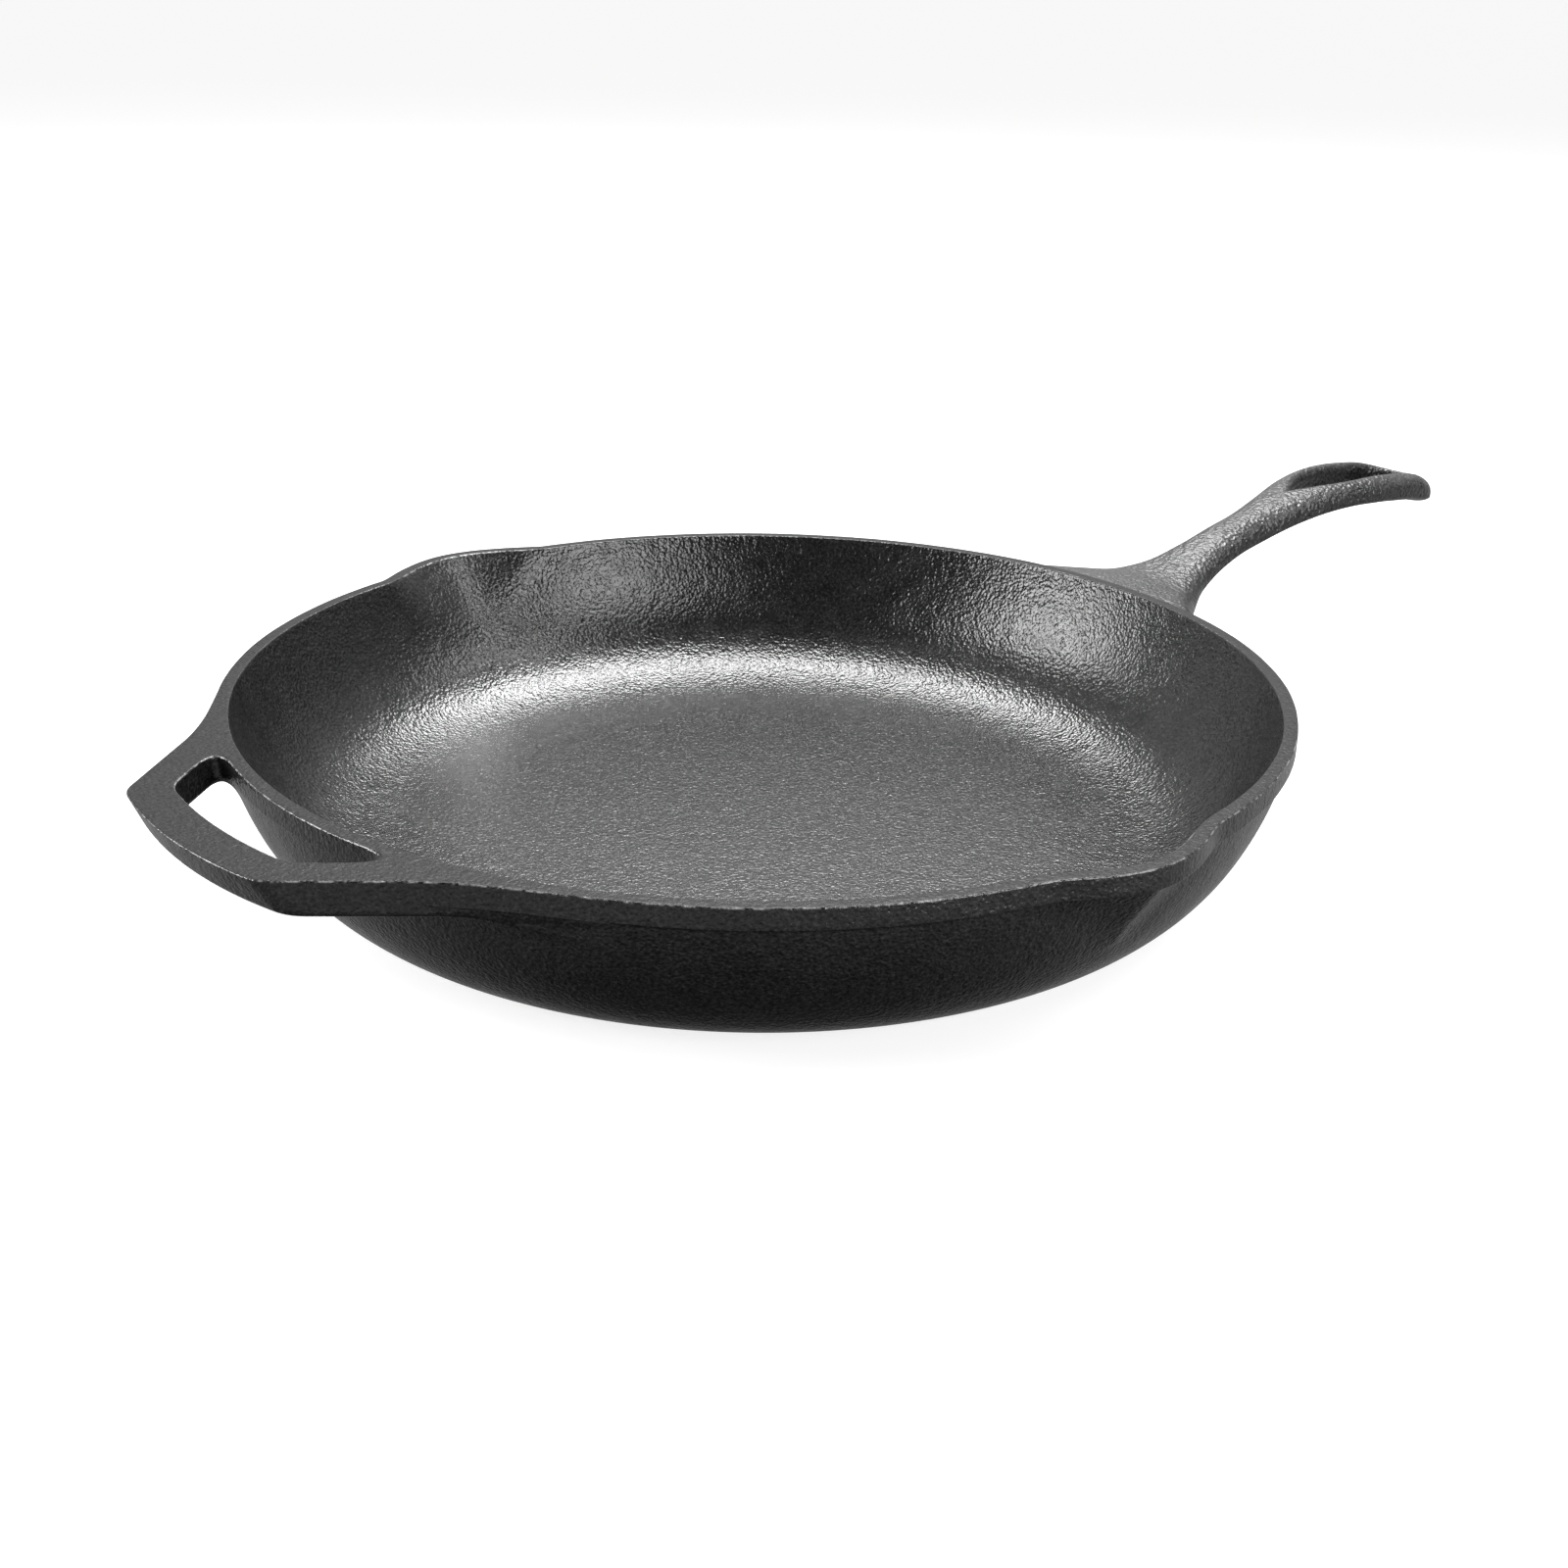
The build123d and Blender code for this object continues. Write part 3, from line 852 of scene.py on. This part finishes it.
def make_iron(name, rough=(0.20, 0.27), grain=0.95, relief=0.34, ground=False, matte_top=False):
    """Seasoned sand-cast iron: pebbled grain, fine light flecks painted as glints of the grain,
    cloudy seasoning.

    Grain and relief are the pebbles' size and height in mm.  The cooking surface has more of the
    painted glint flecks, and is a little rougher and flatter.  With ground set, level faces at the
    rim's height are the machined land, and its outer edge gets a painted highlight in the colour of
    bare metal from wear.  With matte_top set, faces that look up are rougher."""
    material = bpy.data.materials.new(name)
    material.use_nodes = True
    n = Nodes(material)
    place = n.add("TexCoord").outputs["Object"]
    radius = n.length(n.stretched(place, (1.0, 1.0, 0.0)))
    start, complete = FLOOR_FADE
    floor = n.spread(radius, (FLOOR_RADIUS + start) * MM, (FLOOR_RADIUS + complete) * MM)

    cloud = n.noise(place, 38.0, 4.0, 0.55)
    patch = n.noise(place, 9.0, 3.0, 0.5)
    tone = n.maths("ADD", n.product(cloud, 0.5), n.product(patch, 0.5))
    colour = n.mix(n.spread(tone, 0.3, 0.7), grey(DARK_TONE), grey(LIGHT_TONE))
    colour = n.mix(floor, colour, grey(FLOOR_TONE))
    fine = n.noise(place, 0.9 * grain, 1.0, 0.5)
    pits = n.product(n.spread(fine, 0.5, 0.36), 0.8)
    colour = n.mix(pits, colour, grey(PIT_TONE))
    # painted glints: light flecks in the colour, most of them on the cooking surface
    glint_specks = n.product(n.spread(fine, 0.56, 0.7), n.spread(floor, 0, 1, WALL_GLINT_FLECK, FLOOR_GLINT_FLECK))
    colour = n.mix(glint_specks, colour, grey(GLINT_SPECK_TONE))

    roughness = n.blend(floor, n.spread(patch, 0.35, 0.65, *rough), FLOOR_ROUGHNESS)
    height = cast_grain(n, place, grain)
    strength = n.spread(floor, 0.0, 1.0, 1.0, FLOOR_RELIEF)
    sheen = SHEEN
    if ground or matte_top:
        up = n.height_of(n.add("NewGeometry").outputs["Normal"])
    if matte_top:
        roughness = n.blend(n.spread(up, 0.80, 0.95), roughness, LAND_ROUGHNESS)
    if ground:
        land, edge_glint = rim_masks(n, place, up)
        streaks = n.noise(n.stretched(place, (1.0, 1.0, 0.08)), 1.6)
        height = n.maths("ADD", height, n.product(streaks, 0.6))
        scuff = n.spread(n.noise(place, 0.8, 3.0, 0.6), 0.4, 0.65)
        dark, light = LAND_TONES
        colour = n.mix(land, colour, n.mix(scuff, grey(dark), grey(light)))
        # painted highlight along the rim's outer edge
        colour = n.mix(edge_glint, colour, grey(EDGE_GLINT_TONE))
        roughness = n.spread(land, 0.0, 1.0, roughness, LAND_ROUGHNESS)
        strength = n.spread(land, 0.0, 1.0, 1.0, LAND_RELIEF)
        sheen = n.spread(land, 0.0, 1.0, SHEEN, LAND_SHEEN)

    bump = n.add("Bump", Height=height, Strength=strength, Distance=relief * MM)
    shader = n.add("BsdfPrincipled", **{"Base Color": colour, "Roughness": roughness,
                                        "Specular IOR Level": sheen,
                                        "Normal": bump.outputs[0]})
    shader.inputs["Metallic"].default_value = 0.0
    shader.inputs["IOR"].default_value = 1.5
    out = n.tree.nodes.new("ShaderNodeOutputMaterial")
    n.tree.links.new(shader.outputs[0], out.inputs["Surface"])
    return material


def paint(piece, material):
    piece.data.materials.clear()
    piece.data.materials.append(material)


def paint_object():
    iron = make_iron("seasoned_iron")
    rim = make_iron("ground_rim", ground=True)
    bar = make_iron("handle_iron", rough=(0.26, 0.36), grain=1.3, relief=0.9, matte_top=True)
    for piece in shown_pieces():
        if piece.name == "cast_main_handle":
            paint(piece, bar)
        elif piece.name.startswith(("cast_rim_band", "cast_pour_spout", "cast_helper")):
            paint(piece, rim)
        else:
            paint(piece, iron)


# ---- studio ----------------------------------------------------------------------------
STUDIO_REACH = 40.0            # half the floor's width, in metres
STUDIO_DROP = 0.0003           # the floor lies this far under the pan
STUDIO_TONE = 0.35
STUDIO_GLOW = 0.78
BACKDROP_GLOW = 1.0
ROOM_FRONT_TO_BACK = (-0.6, 0.9, 0.10, 1.0)     # where it starts and ends, glow at each
ROOM_BELOW = (-0.95, -0.30, 0.06, 0.75)
HORIZON = (-0.06, 0.06)

# the soft lights: azimuth, elevation, distance in metres, size in metres, radiance
SOFTBOXES = {
    "key_above": (40, 62, 1.6, (1.0, 0.9), 23.0),
    "front_high": (-42, 46, 1.6, (0.6, 0.6), 8.0),
    "left_low": (144, 21, 1.4, (0.62, 0.90), 16.5),
    "right_low": (-88, 18, 1.4, (0.85, 0.85), 8.5),
}

LENS = 45.38                   # for a sensor 36 mm wide
SENSOR = 36.0
CAMERA_PLACE = (-0.3536, -0.4087, 0.2410)
CAMERA_RIGHT = (0.7507, -0.66046, 0.01542)
CAMERA_UP = (0.24444, 0.29938, 0.92229)


def build_floor():
    mesh = bpy.data.meshes.new("studio_floor")
    reach = STUDIO_REACH
    corners = [(-reach, -reach, 0), (reach, -reach, 0), (reach, reach, 0), (-reach, reach, 0)]
    mesh.from_pydata(corners, [], [(0, 1, 2, 3)])
    floor = bpy.data.objects.new("studio_floor", mesh)
    bpy.context.scene.collection.objects.link(floor)
    floor.location.z = -STUDIO_DROP
    material = bpy.data.materials.new("pale_floor")
    material.use_nodes = True
    shader = material.node_tree.nodes["Principled BSDF"]
    shader.inputs["Base Color"].default_value = grey(STUDIO_TONE)
    shader.inputs["Roughness"].default_value = 0.9
    shader.inputs["Specular IOR Level"].default_value = 0.1
    shader.inputs["Emission Color"].default_value = grey(1.0)
    shader.inputs["Emission Strength"].default_value = STUDIO_GLOW
    mesh.materials.append(material)
    floor.visible_glossy = False
    floor.visible_diffuse = False


def softbox(name, azimuth, elevation, distance, size, radiance):
    """A soft rectangular light seen from the pan in this direction, with this brightness."""
    light = bpy.data.lights.new(name, "AREA")
    light.shape = "RECTANGLE"
    light.size, light.size_y = size
    light.energy = radiance * math.pi * size[0] * size[1]
    turn, lift = math.radians(azimuth), math.radians(elevation)
    toward = Vector((math.cos(turn) * math.cos(lift), math.sin(turn) * math.cos(lift),
                     math.sin(lift)))
    lamp = bpy.data.objects.new(name, light)
    bpy.context.scene.collection.objects.link(lamp)
    lamp.location = toward * distance
    lamp.rotation_euler = toward.to_track_quat("Z", "Y").to_euler()


def build_world():
    """A room that is pale behind the pan, dim in front of it and dark below.

    The camera itself sees an even, pale backdrop."""
    world = bpy.data.worlds.new("studio")
    world.use_nodes = True
    n = Nodes(world)
    direction = n.add("TexCoord").outputs["Generated"]
    split = n.add("SeparateXYZ", Vector=direction)
    back = n.maths("ADD", n.product(split.outputs["X"], 0.5), n.product(split.outputs["Y"], 0.87))
    above = n.spread(back, *ROOM_FRONT_TO_BACK)
    below = n.spread(split.outputs["Z"], *ROOM_BELOW)
    horizon = n.spread(split.outputs["Z"], *HORIZON)
    level = n.blend(horizon, below, above)
    seen = n.add("LightPath").outputs["Is Camera Ray"]
    level = n.blend(seen, level, BACKDROP_GLOW)
    shader = n.add("Background")
    n.put(shader.inputs["Strength"], level)
    out = n.tree.nodes.new("ShaderNodeOutputWorld")
    n.tree.links.new(shader.outputs[0], out.inputs["Surface"])
    bpy.context.scene.world = world


def build_lights():
    build_world()
    for name, values in SOFTBOXES.items():
        softbox(name, *values)


def build_camera():
    camera = bpy.data.objects.new("camera", bpy.data.cameras.new("camera"))
    bpy.context.scene.collection.objects.link(camera)
    camera.data.lens = LENS
    camera.data.sensor_width = SENSOR
    camera.location = CAMERA_PLACE
    right = Vector(CAMERA_RIGHT).normalized()
    up = Vector(CAMERA_UP).normalized()
    back = right.cross(up)
    camera.rotation_euler = Matrix((right, up, back)).transposed().to_euler()
    bpy.context.scene.camera = camera


ANGLES, GRID, ROWS = build_grid()
NORMALS = grid_normals(GRID)
build_pan(ROWS)
build_handles()
paint_object()
build_floor()
build_lights()
build_camera()
bpy.context.scene.view_settings.view_transform = "Standard"
